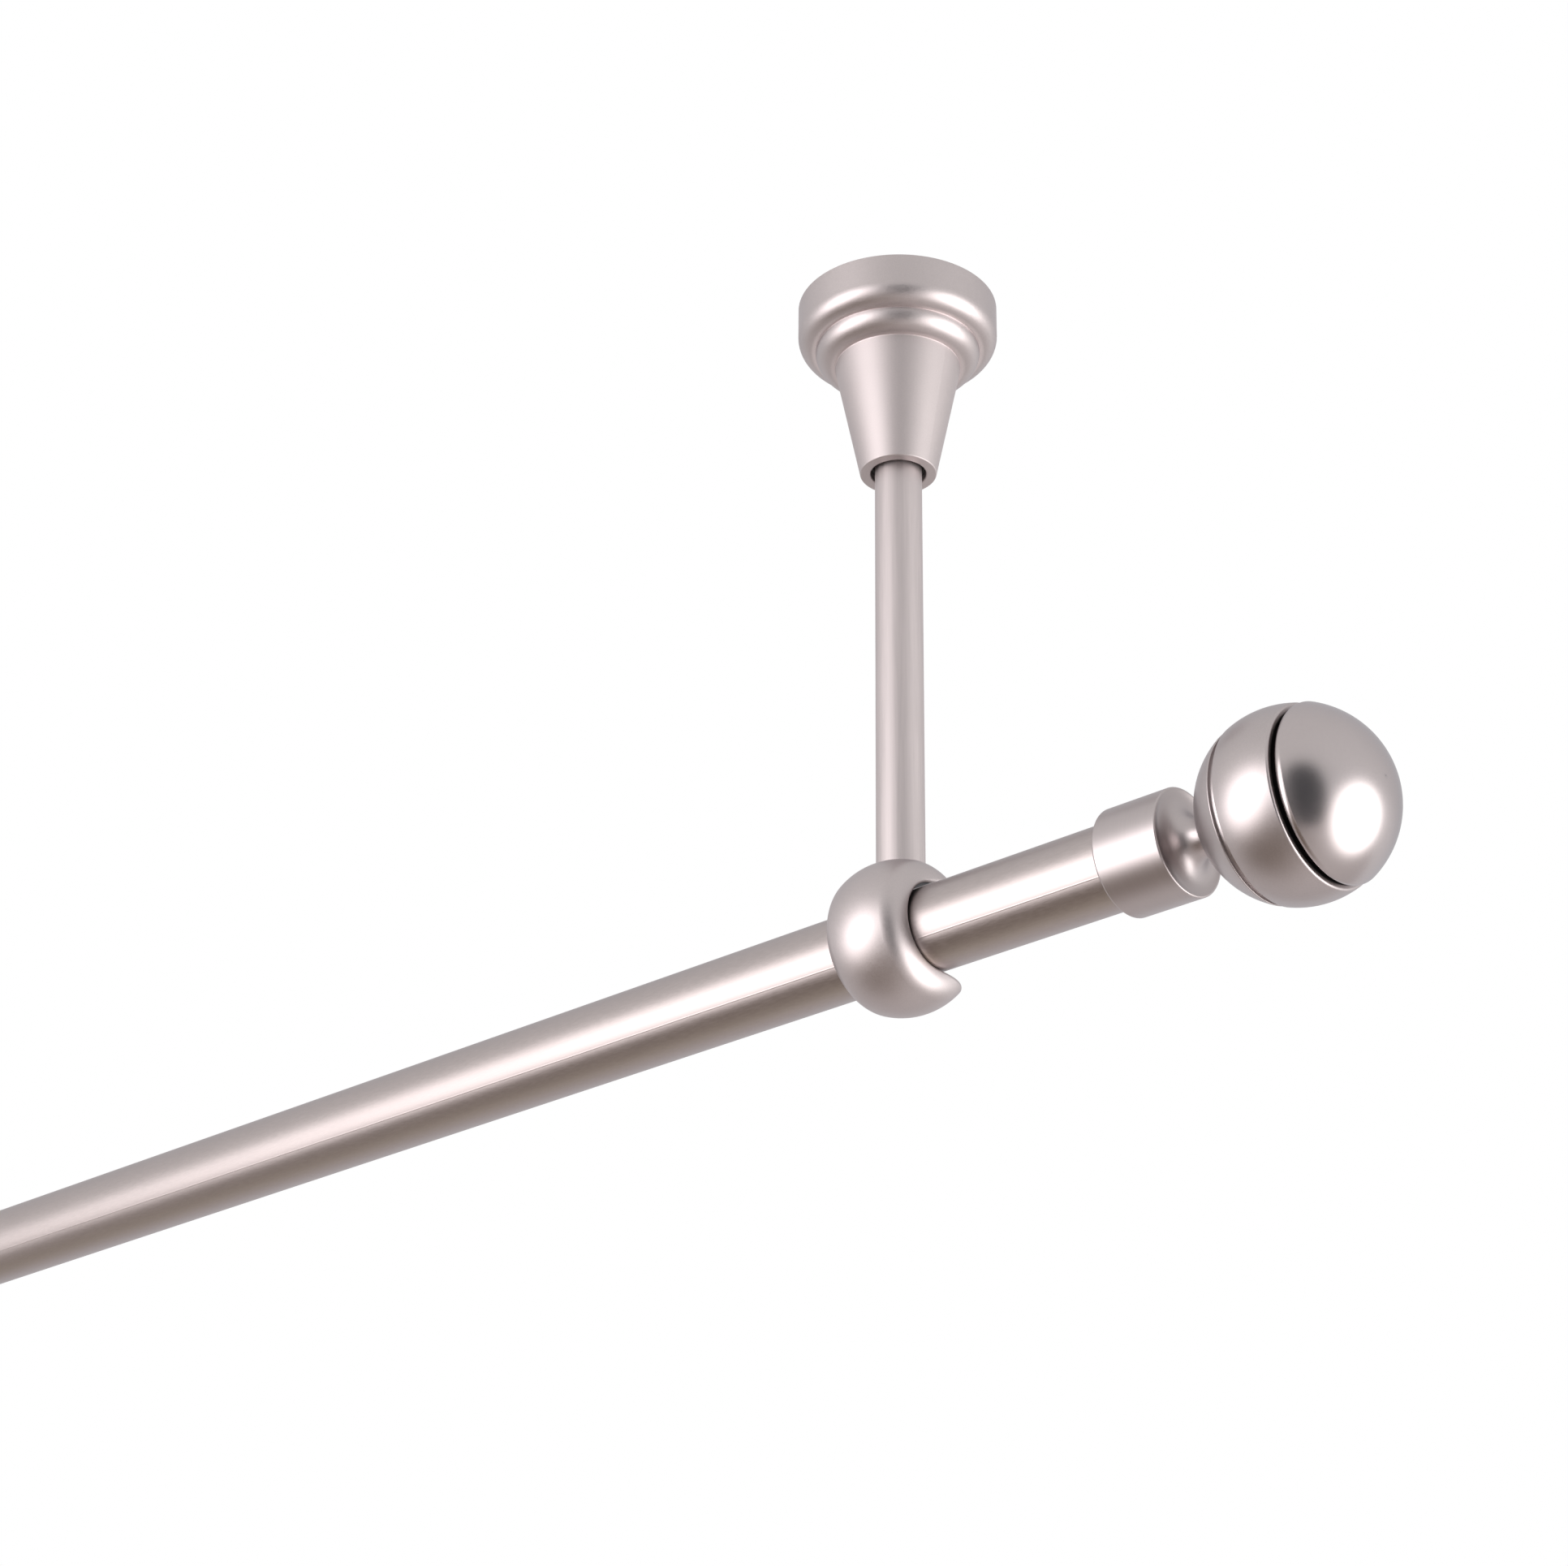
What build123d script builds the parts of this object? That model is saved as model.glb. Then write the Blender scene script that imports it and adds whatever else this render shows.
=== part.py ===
"""Ceiling curtain rod: a satin metal tube lying in two open ball hooks, which hang
from the ceiling on straight stems, with a grooved ball finial on each end.

Millimetres. +X runs along the rod, +Z is up and z = 0 is the ceiling plane, with
the origin halfway between the two ceiling plates. The hooks open towards +Y.
"""
from build123d import *
import math
import os

# Rod
rod_length = 1200.0
rod_diameter = 19.0
rod_wall = 1.0
rod_drop = 164.3          # ceiling plane down to the rod's axis
rod_overhang = 72.5       # bracket centre to the rod's end
rod_end_chamfer = 0.3

# Stem, a bar with a tapped hole in each end
stem_diameter = 11.0
stem_edge = 0.15          # chamfer at its ends
stud_diameter = 6.0
stud_edge = 0.4           # chamfer at the ends of every stud
thread_gap = 0.05         # radial, studs and grub screws in their holes
stud_grip = 8.0           # length of stud in the stem
hole_spare = 0.5          # depth of a blind hole past its stud

# Ceiling plate
plate_thickness = 3.0
plate_side_gap = 0.4      # radial, plate to cover
plate_edge = 0.5
boss_diameter = 14.0
boss_height = 9.0
screw_hole_diameter = 4.5
screw_head_diameter = 8.6
screw_head_angle = 90.0
screw_pitch = 28.0        # hole to hole, across the rod

# Ceiling cover, a turned shell round the stem
cover_rim_diameter = 47.3
cover_first_radius = 4.15 # rounding of the upper step
cover_step_depth = 11.75  # ceiling to the crease between the two rounded steps
cover_step_land = 0.05    # straight part between the crease and the lower rounding
cover_second_radius = 4.4 # rounding of the lower step
cover_ledge = 0.2         # flat between the lower rounding and the cone
cover_height = 45.6
mouth_gap = 1.0           # radial, stem to the bore of the mouth
mouth_wall = 2.4
mouth_land = 5.5          # height of the straight bore at the mouth
mouth_edge = 0.35
cover_wall = 1.6

# Grip ring, a rubber ring in a groove of the cover's mouth
ring_section = 1.4
ring_stem_gap = 0.08      # radial, ring to stem
ring_groove_gap = 0.05
ring_depth = 2.6          # mouth face up to the middle of the ring

# Rod hook, a bored ball, open towards +Y
hook_ball_diameter = 34.84
hook_bore_gap = 0.4       # radial, bore to rod
hook_seat_gap = 0.05      # rod to the bottom of the bore
hook_face_radius = 5.8    # rounding between ball and bore
hook_rim_offset = 10.39   # ball's centre to the rim of the bore, along the rod
hook_flat_margin = 0.15   # flat on top of the ball, wider than the stem on the radius
slot_rise = 17.0          # slope of the upper slot wall, which is tangent to the bore
lip_edge = 0.8            # rounding round the top of the lower lip
hook_stud_floor = 0.95    # metal left between the stud's hole and the bore

# Clamp screw, low on the hidden side of the hook
clamp_screw_diameter = 4.0
clamp_screw_sink = 1.27   # outer end, inside the ball's radius
clamp_screw_angle = -50.0 # from +Y towards -Z
screw_tip_gap = 0.05
hex_width = 2.0
hex_depth = 1.6

# Finial socket
socket_wall = 2.35
socket_grip = 11.8        # length of rod in the socket
socket_length = 16.3      # open end to front rim
socket_bore_gap = 0.1     # radial, bore to rod
socket_end_gap = 0.3      # rod's end to the bottom of the bore
socket_edge = 0.5
socket_rim_edge = 0.4
neck_diameter = 8.0
cove_length = 4.5         # front rim to where the cove meets the neck
neck_length = 1.78        # straight part, cove to ball
socket_screw_inset = 5.2  # socket's open end to its grub screw
socket_screw_diameter = 4.0
socket_screw_sink = 0.1   # outer end, inside the socket's radius
socket_hex_depth = 1.4

# Finial ball
ball_diameter = 41.32
ball_seat_diameter = 9.4  # flat where the neck meets the ball
groove_place = -8.6       # back edge of the turned groove, from the ball's centre
groove_width = 1.6
groove_depth = 0.8
groove_back_edge = 0.2
groove_front_edge = 0.1
band_front = 6.4          # front face of the band, from the ball's centre
band_edge = 0.55
band_wall = 2.34          # radial, recess to the edge of the band
recess_depth = 2.4
joining_stud_diameter = 5.0
joining_stud_length = 17.0
joining_stud_back = 0.6   # bottom of the socket's bore to the stud

# Dome cap
dome_stand = 0.44         # sphere of the cap outside the ball's
dome_gap = 0.8            # open groove between band and cap
dome_edge_radius = 1.3
spigot_gap = 0.05         # radial, cap in the recess of the ball

# Worked out from the sizes above
rod_radius = rod_diameter / 2
stem_radius = stem_diameter / 2
bracket_x = rod_length / 2 - rod_overhang
hook_bore_radius = rod_radius + hook_bore_gap
hook_centre_z = hook_bore_gap - hook_seat_gap   # above the rod's axis
hook_ball_radius = hook_ball_diameter / 2
hook_flat_height = math.sqrt(hook_ball_radius**2 - (stem_radius + hook_flat_margin) ** 2)
hook_stud_depth = hook_flat_height - hook_bore_radius - hook_stud_floor
screw_tip_radius = rod_radius + screw_tip_gap
clamp_screw_length = hook_ball_radius - clamp_screw_sink - screw_tip_radius
stud_hole_radius = stud_diameter / 2 + thread_gap
stem_top = -(plate_thickness + boss_height)
stem_bottom = -rod_drop + hook_centre_z + hook_flat_height
mouth_bore_radius = stem_radius + mouth_gap
mouth_radius = mouth_bore_radius + mouth_wall
cover_rim_radius = cover_rim_diameter / 2
cover_step_radius = cover_rim_radius - cover_first_radius
cover_shoulder_radius = cover_step_radius - cover_second_radius
cone_top_radius = cover_shoulder_radius - cover_ledge
cover_floor_depth = cover_step_depth + cover_step_land + cover_second_radius
ball_radius = ball_diameter / 2
recess_radius = math.sqrt(ball_radius**2 - band_front**2) - band_wall
dome_radius = ball_radius + dome_stand
seat_offset = math.sqrt(ball_radius**2 - (ball_seat_diameter / 2) ** 2)
socket_bore_radius = rod_radius + socket_bore_gap
socket_radius = socket_bore_radius + socket_wall
socket_screw_length = socket_radius - socket_screw_sink - screw_tip_radius
socket_bottom = rod_overhang + socket_end_gap    # places along the rod, from the bracket's centre
socket_back = rod_overhang - socket_grip
socket_front = socket_back + socket_length
neck_start = socket_front + cove_length
ball_seat = neck_start + neck_length             # where the neck meets the flat on the ball
ball_centre = ball_seat + seat_offset


def ring_solid(outer_radius, inner_radius, low, high):
    """Round bar or sleeve about Z between two heights."""
    with BuildPart() as solid:
        with BuildSketch(Plane.XY.offset(low)):
            Circle(outer_radius)
            if inner_radius > 0:
                Circle(inner_radius, mode=Mode.SUBTRACT)
        extrude(amount=high - low)
    return solid.part


def stud(diameter, length, edge):
    """Stud about Z, standing on z = 0, with chamfered ends."""
    body = Cylinder(diameter / 2, length, align=(Align.CENTER, Align.CENTER, Align.MIN))
    return chamfer(body.edges().filter_by(GeomType.CIRCLE), edge)


def grub_screw(diameter, length, socket_depth):
    """Grub screw about Z, tip at z = 0, with a hexagon socket in its outer end."""
    tip = 0.18 * diameter
    body = Cylinder(diameter / 2, length, align=(Align.CENTER, Align.CENTER, Align.MIN))
    body = chamfer(body.edges().group_by(Axis.Z)[0], tip)
    with BuildPart() as cut:
        with BuildSketch(Plane.XY.offset(length - socket_depth)):
            RegularPolygon(hex_width / 2, 6, major_radius=False)
        extrude(amount=socket_depth)
    return body - cut.part


def ceiling_plate():
    """Disc against the ceiling with a tapped boss and two countersunk screw holes."""
    radius = cover_rim_radius - cover_wall - plate_side_gap
    with BuildPart() as plate:
        with BuildSketch(Plane.XY.offset(-plate_thickness)):
            Circle(radius)
        extrude(amount=plate_thickness)
        chamfer(plate.edges().group_by(Axis.Z)[0], plate_edge)
        with BuildSketch(Plane.XY.offset(stem_top)):
            Circle(boss_diameter / 2)
        extrude(amount=boss_height)
        chamfer(plate.edges().group_by(Axis.Z)[0], plate_edge)
        under = Plane((0, 0, -plate_thickness), x_dir=(1, 0, 0), z_dir=(0, 0, -1))
        with Locations(under):
            with Locations((0, screw_pitch / 2), (0, -screw_pitch / 2)):
                CounterSinkHole(
                    screw_hole_diameter / 2,
                    screw_head_diameter / 2,
                    depth=plate_thickness,
                    counter_sink_angle=screw_head_angle,
                )
    tapped = ring_solid(stud_hole_radius, 0, stem_top, stem_top + boss_height)
    return plate.part - tapped


def upper_stud():
    """Stud that joins the stem to the ceiling plate."""
    low = stem_top - stud_grip
    length = boss_height - hole_spare + stud_grip
    return Pos(0, 0, low) * stud(stud_diameter, length, stud_edge)


def lower_stud():
    """Stud that joins the stem to the hook."""
    low = stem_bottom - hook_stud_depth + hole_spare
    length = hook_stud_depth - hole_spare + stud_grip
    return Pos(0, 0, low) * stud(stud_diameter, length, stud_edge)


def stem():
    """Bar from the ceiling plate to the hook, tapped at both ends."""
    bar = ring_solid(stem_radius, 0, stem_bottom, stem_top)
    bar = chamfer(bar.edges().filter_by(GeomType.CIRCLE), stem_edge)
    depth = stud_grip + hole_spare
    top_hole = ring_solid(stud_hole_radius, 0, stem_top - depth, stem_top)
    low_hole = ring_solid(stud_hole_radius, 0, stem_bottom, stem_bottom + depth)
    return bar - top_hole - low_hole


def cover_outer_radius(depth):
    """Radius of the cover's cone, and of its line carried on, at a depth."""
    share = (depth - cover_floor_depth) / (cover_height - cover_floor_depth)
    return cone_top_radius + (mouth_radius - cone_top_radius) * share


def cover_inner_radius(depth):
    """Radius inside the cone, one wall further in."""
    run = cover_height - cover_floor_depth
    slant = math.hypot(cone_top_radius - mouth_radius, run)
    return cover_outer_radius(depth) - cover_wall * slant / run


def ceiling_cover():
    """Turned shell: skirt, two rounded steps and a cone down to the mouth."""
    first = cover_first_radius
    second = cover_second_radius
    wall = cover_wall
    shoulder = cover_shoulder_radius
    inner_floor = cover_floor_depth - wall
    land_top = cover_height - mouth_land
    bore = mouth_bore_radius
    with BuildPart() as cover:
        with BuildSketch(Plane.XZ):
            with BuildLine():
                Polyline(
                    (cover_rim_radius - wall, 0),
                    (cover_rim_radius, 0),
                    (cover_rim_radius, -(cover_step_depth - first)),
                )
                CenterArc((cover_step_radius, -(cover_step_depth - first)), first, -90, 90)
                Line(
                    (cover_step_radius, -cover_step_depth),
                    (cover_step_radius, -(cover_floor_depth - second)),
                )
                CenterArc((shoulder, -(cover_floor_depth - second)), second, -90, 90)
                Polyline(
                    (shoulder, -cover_floor_depth),
                    (cone_top_radius, -cover_floor_depth),
                    (mouth_radius, -cover_height),
                    (bore, -cover_height),
                    (bore, -land_top),
                    (cover_inner_radius(land_top), -land_top),
                    (cover_inner_radius(inner_floor), -inner_floor),
                    (shoulder, -inner_floor),
                )
                CenterArc((shoulder, -(cover_floor_depth - second)), second - wall, -90, 90)
                Polyline(
                    (cover_step_radius - wall, -(cover_floor_depth - second)),
                    (cover_step_radius - wall, -(cover_step_depth - wall)),
                    (cover_step_radius, -(cover_step_depth - wall)),
                )
                CenterArc((cover_step_radius, -(cover_step_depth - first)), first - wall, -90, 90)
                Line(
                    (cover_rim_radius - wall, -(cover_step_depth - first)),
                    (cover_rim_radius - wall, 0),
                )
            make_face()
        revolve(axis=Axis.Z)
        fillet(cover.edges().group_by(Axis.Z)[0], mouth_edge)
    return cover.part - ring_groove()


def ring_middle():
    """Radius of the grip ring's centre line."""
    return stem_radius + ring_stem_gap + ring_section / 2


def ring_groove():
    """Round-bottomed groove for the grip ring."""
    return Pos(0, 0, -(cover_height - ring_depth)) * Torus(
        ring_middle(), ring_section / 2 + ring_groove_gap
    )


def grip_ring():
    """Rubber ring that holds the cover up on the stem."""
    return Pos(0, 0, -(cover_height - ring_depth)) * Torus(ring_middle(), ring_section / 2)


def face_rounding():
    """Centre of the arc that touches the ball from inside and ends at the bore's rim."""
    inner = hook_ball_radius - hook_face_radius
    rim = math.hypot(hook_rim_offset, hook_bore_radius)
    along = (rim**2 + inner**2 - hook_face_radius**2) / (2 * rim)
    across = math.sqrt(inner**2 - along**2)
    return (
        (hook_rim_offset * along - hook_bore_radius * across) / rim,
        (hook_bore_radius * along + hook_rim_offset * across) / rim,
    )


def hook_body():
    """Ball turned about the rod's axis, rounded off towards the bore, still closed."""
    centre_x, centre_r = face_rounding()
    ball_end = math.degrees(math.atan2(centre_r, centre_x))
    rim_end = math.degrees(math.atan2(hook_bore_radius - centre_r, hook_rim_offset - centre_x))
    turn = ball_end - rim_end
    with BuildPart() as body:
        with BuildSketch(Plane.XY):
            with BuildLine():
                CenterArc((0, 0), hook_ball_radius, ball_end, 180 - 2 * ball_end)
                CenterArc((centre_x, centre_r), hook_face_radius, rim_end, turn)
                CenterArc((-centre_x, centre_r), hook_face_radius, 180 - ball_end, turn)
                Polyline(
                    (hook_rim_offset, hook_bore_radius),
                    (hook_rim_offset, 0),
                    (-hook_rim_offset, 0),
                    (-hook_rim_offset, hook_bore_radius),
                )
            make_face()
        revolve(axis=Axis.X)
    return body.part


def hook_slot():
    """Bore and the side opening that the rod drops in by, along X through the ball."""
    reach = hook_ball_diameter
    radius = hook_bore_radius
    rise = math.radians(slot_rise)
    wall_start = (-radius * math.sin(rise), radius * math.cos(rise))
    wall_end = (reach, wall_start[1] + math.tan(rise) * (reach - wall_start[0]))
    with BuildPart() as slot:
        with BuildSketch(Plane.YZ.offset(-reach)):
            with BuildLine():
                CenterArc((0, 0), radius, 90 + slot_rise, 180 - slot_rise)
                Polyline((0, -radius), (reach, -radius), wall_end, wall_start)
            make_face()
        extrude(amount=2 * reach)
    return slot.part


def clamp_screw_place():
    """Local frame of the clamp screw: its tip at the rod, +Z pointing outwards."""
    return Pos(0, 0, -rod_drop) * Rot(X=-90 + clamp_screw_angle) * Pos(
        0, 0, screw_tip_radius
    )


def clamp_screw():
    """Grub screw that keeps the rod from sliding in the hook."""
    return clamp_screw_place() * grub_screw(clamp_screw_diameter, clamp_screw_length, hex_depth)


def rod_hook():
    """Open ball hook with a flat for the stem, tapped from above."""
    above = Pos(0, 0, hook_flat_height) * Box(
        hook_ball_diameter, hook_ball_diameter, hook_ball_radius,
        align=(Align.CENTER, Align.CENTER, Align.MIN),
    )
    opened = hook_body() - above - hook_slot()
    lip = opened.faces().filter_by(Axis.Z).sort_by(lambda face: face.center().Z)[0]
    rim = lip.edges().filter_by(lambda edge: edge.center().Y > 0.1)
    opened = fillet(rim, lip_edge)
    hook = Pos(0, 0, -rod_drop + hook_centre_z) * opened
    stud_hole = ring_solid(stud_hole_radius, 0, stem_bottom - hook_stud_depth, stem_bottom)
    screw_hole = clamp_screw_place() * Cylinder(
        clamp_screw_diameter / 2 + thread_gap,
        hook_ball_radius,
        align=(Align.CENTER, Align.CENTER, Align.MIN),
    )
    return hook - stud_hole - screw_hole


def rod():
    """Thin-walled tube along X."""
    with BuildPart() as tube:
        with BuildSketch(Plane.YZ.offset(-rod_length / 2)):
            Circle(rod_radius)
            Circle(rod_radius - rod_wall, mode=Mode.SUBTRACT)
        extrude(amount=rod_length)
        outer = tube.edges().filter_by(lambda edge: edge.length > math.pi * (rod_diameter - rod_wall))
        chamfer(outer.filter_by(GeomType.CIRCLE), rod_end_chamfer)
    return Pos(0, 0, -rod_drop) * tube.part


def finial_socket():
    """Socket over the rod's end, with a coved front that runs out into the neck."""
    outer = socket_radius
    bore = socket_bore_radius
    neck = neck_diameter / 2
    neck_end = ball_seat
    # The cove is an arc from the front rim, tangent to the neck
    run = neck_start - socket_front
    rise = outer - neck
    cove = (run**2 + rise**2) / (2 * rise)
    start = math.degrees(math.atan2(rise - cove, -run))
    hole = joining_stud_diameter / 2 + thread_gap
    with BuildPart() as socket:
        with BuildSketch(Plane.XY):
            with BuildLine():
                Polyline(
                    (socket_back, bore),
                    (socket_back, outer),
                    (socket_front, outer),
                )
                CenterArc((neck_start, neck + cove), cove, start, 270 - start)
                Polyline(
                    (neck_start, neck),
                    (neck_end, neck),
                    (neck_end, hole),
                    (socket_bottom, hole),
                    (socket_bottom, bore),
                    (socket_back, bore),
                )
            make_face()
        revolve(axis=Axis.X)
        fillet(circle_at(socket, socket_back), socket_edge)
        fillet(circle_at(socket, socket_front), socket_rim_edge)
    return socket.part - socket_screw_hole()


def socket_screw_place():
    """Local frame of the socket's grub screw: its tip at the rod, +Z pointing to +Y."""
    along = Pos(socket_back + socket_screw_inset, 0, 0)
    return along * Rot(X=-90) * Pos(0, 0, screw_tip_radius)


def socket_screw_hole():
    """Tapped hole for the socket's grub screw."""
    radius = socket_screw_diameter / 2 + thread_gap
    hole = Cylinder(radius, socket_radius, align=(Align.CENTER, Align.CENTER, Align.MIN))
    return socket_screw_place() * hole


def socket_screw():
    """Grub screw that clamps the socket on the rod."""
    screw = grub_screw(socket_screw_diameter, socket_screw_length, socket_hex_depth)
    return socket_screw_place() * screw


def joining_stud():
    """Stud through the neck that holds socket and ball together."""
    low = socket_bottom + joining_stud_back
    return Pos(low, 0, 0) * Rot(Y=90) * stud(joining_stud_diameter, joining_stud_length, stud_edge)


def circle_at(build, place):
    """Largest circular edge of a piece turned about X, at one place along X."""
    level = build.edges().filter_by(GeomType.CIRCLE).filter_by_position(
        Axis.X, place - 0.01, place + 0.01
    )
    return level.sort_by(SortBy.RADIUS)[-1]


def sphere_height(radius, offset):
    """Distance of a sphere's surface from its axis, at an offset along the axis."""
    return math.sqrt(radius**2 - offset**2)


def sphere_angle(radius, offset):
    """Angle from +X of a sphere's surface at an offset along the axis."""
    return math.degrees(math.acos(offset / radius))


def ball_body():
    """Turned ball with a groove round its back half and a recess for the dome cap."""
    hole = joining_stud_diameter / 2 + thread_gap
    hole_end = socket_bottom + joining_stud_back + joining_stud_length + hole_spare - ball_centre
    seat = -seat_offset
    groove_front = groove_place + groove_width
    groove_floor = sphere_height(ball_radius, groove_place) - groove_depth
    recess = recess_radius
    recess_floor = band_front - recess_depth
    back_start = sphere_angle(ball_radius, seat)
    back_end = sphere_angle(ball_radius, groove_place)
    band_start = sphere_angle(ball_radius, groove_front)
    band_end = sphere_angle(ball_radius, band_front)
    with BuildPart() as ball:
        with BuildSketch(Plane.XY):
            with BuildLine():
                Polyline((hole_end, 0), (hole_end, hole), (seat, hole), (seat, ball_seat_diameter / 2))
                CenterArc((0, 0), ball_radius, back_end, back_start - back_end)
                Polyline(
                    (groove_place, sphere_height(ball_radius, groove_place)),
                    (groove_place, groove_floor),
                    (groove_front, groove_floor),
                    (groove_front, sphere_height(ball_radius, groove_front)),
                )
                CenterArc((0, 0), ball_radius, band_end, band_start - band_end)
                Polyline(
                    (band_front, sphere_height(ball_radius, band_front)),
                    (band_front, recess),
                    (recess_floor, recess),
                    (recess_floor, 0),
                    (hole_end, 0),
                )
            make_face()
        revolve(axis=Axis.X)
        fillet(circle_at(ball, groove_place), groove_back_edge)
        fillet(circle_at(ball, groove_front), groove_front_edge)
        fillet(circle_at(ball, band_front), band_edge)
    return Pos(ball_centre, 0, 0) * ball.part


def dome_cap():
    """Domed front of the ball, standing off the band by an open groove."""
    dome = dome_radius
    back = band_front + dome_gap
    spigot = recess_radius - spigot_gap
    spigot_end = band_front - recess_depth
    with BuildPart() as cap:
        with BuildSketch(Plane.XY):
            with BuildLine():
                Polyline(
                    (dome, 0),
                    (spigot_end, 0),
                    (spigot_end, spigot),
                    (back, spigot),
                    (back, sphere_height(dome, back)),
                )
                CenterArc((0, 0), dome, 0, sphere_angle(dome, back))
            make_face()
        revolve(axis=Axis.X)
        rim = circle_at(cap, back)
        fillet(rim, dome_edge_radius)
    return Pos(ball_centre, 0, 0) * cap.part


def at_bracket(side, piece):
    """A bracket's piece, moved along the rod to its side."""
    return Pos(side * bracket_x, 0, 0) * piece


def at_finial(side, piece):
    """A finial's piece, moved to the rod's end and turned over for the other end."""
    placed = Pos(bracket_x, 0, -rod_drop) * piece
    return placed if side > 0 else mirror(placed, about=Plane.YZ)


bracket_pieces = {
    "ceiling_plate": ceiling_plate,
    "stem_upper_stud": upper_stud,
    "stem_lower_stud": lower_stud,
    "stem": stem,
    "ceiling_cover": ceiling_cover,
    "cover_grip_ring": grip_ring,
    "rod_hook": rod_hook,
    "rod_clamp_screw": clamp_screw,
}
finial_pieces = {
    "finial_socket": finial_socket,
    "finial_socket_screw": socket_screw,
    "finial_joining_stud": joining_stud,
    "finial_ball": ball_body,
    "finial_dome_cap": dome_cap,
}

os.makedirs("parts", exist_ok=True)
export_step(rod(), "parts/rod.step")
for side, side_name in ((1, "right"), (-1, "left")):
    for name, make in bracket_pieces.items():
        export_step(at_bracket(side, make()), f"parts/{name}_{side_name}.step")
    for name, make in finial_pieces.items():
        export_step(at_finial(side, make()), f"parts/{name}_{side_name}.step")
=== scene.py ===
"""Ceiling curtain rod: satin nickel finishes on the metal parts, cut threads on the studs and
grub screws, and the plain studio that the rod hangs in.

Metres, in the frame's own axes: +X along the rod, +Z up, the ceiling at z = 0.
"""

import math

import bmesh
import bpy
from mathutils import Matrix, Quaternion, Vector


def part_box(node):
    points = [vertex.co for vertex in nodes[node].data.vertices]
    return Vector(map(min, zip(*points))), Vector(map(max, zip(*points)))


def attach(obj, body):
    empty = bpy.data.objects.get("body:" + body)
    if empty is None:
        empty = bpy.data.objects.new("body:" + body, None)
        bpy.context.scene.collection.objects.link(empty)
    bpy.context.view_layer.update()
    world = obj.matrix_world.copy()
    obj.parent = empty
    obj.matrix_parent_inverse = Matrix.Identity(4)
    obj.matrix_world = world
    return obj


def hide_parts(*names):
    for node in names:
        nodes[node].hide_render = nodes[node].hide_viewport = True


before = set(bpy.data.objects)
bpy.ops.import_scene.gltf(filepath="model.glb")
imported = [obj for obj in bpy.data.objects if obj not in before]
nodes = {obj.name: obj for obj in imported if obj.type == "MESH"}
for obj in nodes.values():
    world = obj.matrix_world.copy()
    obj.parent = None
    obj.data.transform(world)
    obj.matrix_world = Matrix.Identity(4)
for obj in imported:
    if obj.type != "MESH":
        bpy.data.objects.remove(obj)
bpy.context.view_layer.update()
scene = bpy.context.scene
sides = ("right", "left")
mm = 0.001


def middle(node):
    """Centre of a CAD node's box."""
    low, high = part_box(node)
    return (low + high) / 2


def new_object(name, mesh):
    """A scene object from a finished mesh."""
    data = bpy.data.meshes.new(name)
    mesh.to_mesh(data)
    mesh.free()
    made = bpy.data.objects.new(name, data)
    scene.collection.objects.link(made)
    return made


rod_axis = middle("rod")
rod_low, rod_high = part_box("rod")
rod_radius = (rod_high.z - rod_low.z) / 2
bracket = {side: middle("stem_" + side) for side in sides}
crossing = Vector((bracket["right"].x, rod_axis.y, rod_axis.z))   # rod and stem of the near bracket


# Shader building blocks

def add_node(tree, kind, links=None, **settings):
    """Adds a node, sets its properties, and links or fills its inputs by name or number."""
    node = tree.nodes.new(kind)
    for name, value in settings.items():
        setattr(node, name, value)
    for name, value in (links or {}).items():
        socket = node.inputs[name]
        if isinstance(value, bpy.types.NodeSocket):
            tree.links.new(value, socket)
        else:
            socket.default_value = value
    return node


def maths(tree, operation, first, second=0.0):
    """One step of arithmetic."""
    return add_node(tree, "ShaderNodeMath", {0: first, 1: second}, operation=operation).outputs[0]


def vector_maths(tree, operation, first, second=(0.0, 0.0, 0.0)):
    """One step of arithmetic on vectors or colours. A length or a distance comes out as a number."""
    node = add_node(tree, "ShaderNodeVectorMath", {0: first, 1: second}, operation=operation)
    return node.outputs["Value" if operation in ("LENGTH", "DISTANCE") else "Vector"]


def ramp(tree, value, low, high, start=0.0, end=1.0):
    """Smooth step from start to end while value goes from low to high."""
    links = {"Value": value, "From Min": low, "From Max": high, "To Min": start, "To Max": end}
    return add_node(tree, "ShaderNodeMapRange", links, interpolation_type="SMOOTHSTEP").outputs["Result"]


def hump(tree, value, peak, half_width):
    """1 at the peak, down to 0 half a width away on either side."""
    away = maths(tree, "ABSOLUTE", maths(tree, "SUBTRACT", value, peak))
    return ramp(tree, away, 0.0, half_width, 1.0, 0.0)


def blend_colour(tree, factor, first, second):
    """Mixes two colours."""
    return add_node(tree, "ShaderNodeMix", {0: factor, 6: first, 7: second}, data_type="RGBA").outputs[2]


def tinted(tree, colours, mask, tint):
    """Multiplies the colour by a tint where the mask is 1."""
    return vector_maths(tree, "MULTIPLY", colours, blend_colour(tree, mask, (1, 1, 1, 1), (*tint, 1)))


def shaded(tree, colours, mask, factor):
    """Darkens or lightens the colour by a factor where the mask is 1."""
    scale = ramp(tree, mask, 0.0, 1.0, 1.0, factor)
    return add_node(tree, "ShaderNodeVectorMath", {0: colours, "Scale": scale}, operation="SCALE").outputs[0]


def coordinates(tree, place):
    """The x, y and z of a place."""
    return tuple(add_node(tree, "ShaderNodeSeparateXYZ", {0: place}).outputs)


def round_axis(tree, first, second):
    """Distance from an axis, from the two coordinates across it."""
    across = add_node(tree, "ShaderNodeCombineXYZ", {0: first, 1: second}).outputs[0]
    return vector_maths(tree, "LENGTH", across)


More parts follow.
